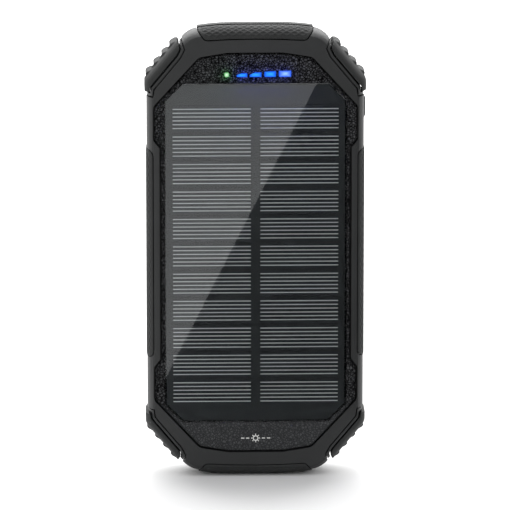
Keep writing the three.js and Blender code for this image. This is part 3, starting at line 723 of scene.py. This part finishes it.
def hinge_web():
    """A thin rubber web, creased across its middle, between the strap and the socket cover."""
    strap_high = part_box("cover_strap")[1]
    half = strap_high.x - WEB["side"]
    bottom, top = strap_high.z - WEB["below"], strap_high.z + WEB["above"]
    middle, back = (bottom + top) / 2, strap_high.y - WEB["inset"]
    rows, columns = WEB["rows"], WEB["columns"]
    shape = bmesh.new()
    grid = []
    for layer in (0, 1):
        for row in range(rows + 1):
            z = bottom + (top - bottom) * row / rows
            crease = WEB["crease"] * math.exp(-(((z - middle) / WEB["crease_reach"]) ** 2))
            y = back - WEB["thick"] + crease * WEB["inner_crease"] if layer else back - crease
            grid.append([
                shape.verts.new((-half + 2 * half * column / columns, y, z))
                for column in range(columns + 1)
            ])
    outer, inner = grid[:rows + 1], grid[rows + 1:]

    def quad(a, b, first, second):
        shape.faces.new((a[first], a[second], b[second], b[first]))

    for row in range(rows):
        for column in range(columns):
            quad(outer[row], outer[row + 1], column, column + 1)
            quad(inner[row], inner[row + 1], column, column + 1)
    for row in (0, rows):
        for column in range(columns):
            quad(outer[row], inner[row], column, column + 1)
    for row in range(rows):
        for column in (0, columns):
            shape.faces.new((
                outer[row][column], outer[row + 1][column], inner[row + 1][column], inner[row][column],
            ))
    bmesh.ops.recalc_face_normals(shape, faces=shape.faces)
    mesh = written(shape, bpy.data.meshes.new("cover_hinge_web"))
    mesh.shade_smooth()
    mesh.materials.append(MATERIALS["bumper_rubber"].material)
    piece = new_object("cover_hinge_web", mesh)
    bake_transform(piece)


hinge_web()

# ---- Better finishes on the CAD parts that keep their shape ----
for name, node in NODES.items():
    if not node.hide_render:
        node.data.materials[0] = material_of(name)


# ---- Light from the charge lamps ----
GLOW = {"radius": 0.3 * MM, "ahead": 1.2 * MM}


def lamp_glow(node, colour, power):
    """A faint spill of a lit lens on the cover around it."""
    low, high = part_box(node)
    data = bpy.data.lights.new(f"{node}_spill", "POINT")
    data.color = colour
    data.energy = power
    data.shadow_soft_size = GLOW["radius"]
    lamp = new_object(f"{node}_spill", data)
    lamp.location = ((low.x + high.x) / 2, low.y - GLOW["ahead"], (low.z + high.z) / 2)
    lamp.visible_camera = False
    lamp.visible_glossy = False


for lens in CHARGE_LENSES:
    lamp_glow(lens, colour=(0.005, 0.04, 1.0), power=0.0012)
lamp_glow("status_lens", colour=(0.01, 1.0, 0.03), power=0.0004)

# ---- Studio: pale floor, soft light from above and behind ----
STUDIO_WHITE = 0.9
LIT_POINT = Vector((0, 0, 0.05))
SOFTBOXES = {
    "top": {"place": (0.0, 0.32, 1.7), "size": (0.8, 0.4), "power": 6.0},
    "back": {"place": (0.0, 1.3, 1.3), "size": (3.0, 2.0), "power": 72.0},
}
FLOOR = {"albedo": 0.8, "drift": 1.01, "reach": 4.0}
CARD = {
    "near": (-0.0306, -0.1527), "far": (0.0505, -0.7364), "longer": (0.09, 0.5), "width": 0.9,
    "height": 2 * MM,
}


def studio_surface(name, corners, shader):
    mesh = bpy.data.meshes.new(name)
    mesh.from_pydata(corners, [], [(0, 1, 2, 3)])
    mesh.materials.append(shader)
    surface = new_object(name, mesh)
    return surface


def plain_floor():
    shader = Shader("pale_floor")
    drift = shader.span(shader.noise(0.9, detail=1), 0.3, 0.7)
    darker, lighter = (FLOOR["albedo"],) * 3, (FLOOR["albedo"] * FLOOR["drift"],) * 3
    shader.set(Base_Color=shader.mix(drift, darker, lighter), Roughness=0.9, Specular_IOR_Level=0.0)
    reach = FLOOR["reach"]
    corners = [(-reach, -reach, 0), (reach, -reach, 0), (reach, reach, 0), (-reach, reach, 0)]
    studio_surface("floor", corners, shader.material)


def shade_card():
    """A dark card on the floor in front of the case, with one slanting edge, seen only in the gloss."""
    shader = Shader("shade_card")
    shader.set(Base_Color=(0.004, 0.004, 0.004, 1), Roughness=1.0, Specular_IOR_Level=0.0)
    near, far = Vector(CARD["near"]), Vector(CARD["far"])
    ahead = (far - near).normalized()
    across = Vector((-ahead.y, ahead.x)) * CARD["width"]
    near -= ahead * CARD["longer"][0]
    far += ahead * CARD["longer"][1]
    corners = [(p.x, p.y, CARD["height"]) for p in (near, near + across, far + across, far)]
    card = studio_surface("shade_card", corners, shader.material)
    card.visible_camera = False
    card.visible_diffuse = False
    card.visible_shadow = False


def softbox(name, place, size, power):
    data = bpy.data.lights.new(f"{name}_softbox", "AREA")
    data.shape = "RECTANGLE"
    data.size, data.size_y = size
    data.energy = power
    light = new_object(f"{name}_softbox", data)
    light.location = place
    light.rotation_euler = (LIT_POINT - light.location).to_track_quat("-Z", "Y").to_euler()
    light.visible_camera = False


plain_floor()
shade_card()
for name, setting in SOFTBOXES.items():
    softbox(name, **setting)

world = bpy.data.worlds.new("studio")
world.use_nodes = True
backdrop = world.node_tree.nodes["Background"]
backdrop.inputs["Color"].default_value = (1, 1, 1, 1)
backdrop.inputs["Strength"].default_value = STUDIO_WHITE
SCENE.world = world
SCENE.view_settings.view_transform = "Standard"

# ---- Camera: a long lens, a little above the case and a little to its left ----
DISTANCE = 2.0
ELEVATION = math.radians(13)
TURN = math.radians(1.6)
PICTURE_WIDTH = 184.6 * MM
AIM = Vector((-0.24 * MM, CASE_LOW.y, MIDDLE_Z - 0.35 * MM))

optics = bpy.data.cameras.new("camera")
optics.sensor_width = 36
optics.lens = optics.sensor_width * DISTANCE / PICTURE_WIDTH
optics.clip_end = 20
camera = new_object("camera", optics)
away = Vector((
    -math.sin(TURN) * math.cos(ELEVATION), -math.cos(TURN) * math.cos(ELEVATION), math.sin(ELEVATION),
))
camera.location = AIM + away * DISTANCE
camera.rotation_euler = away.to_track_quat("Z", "Y").to_euler()
SCENE.camera = camera
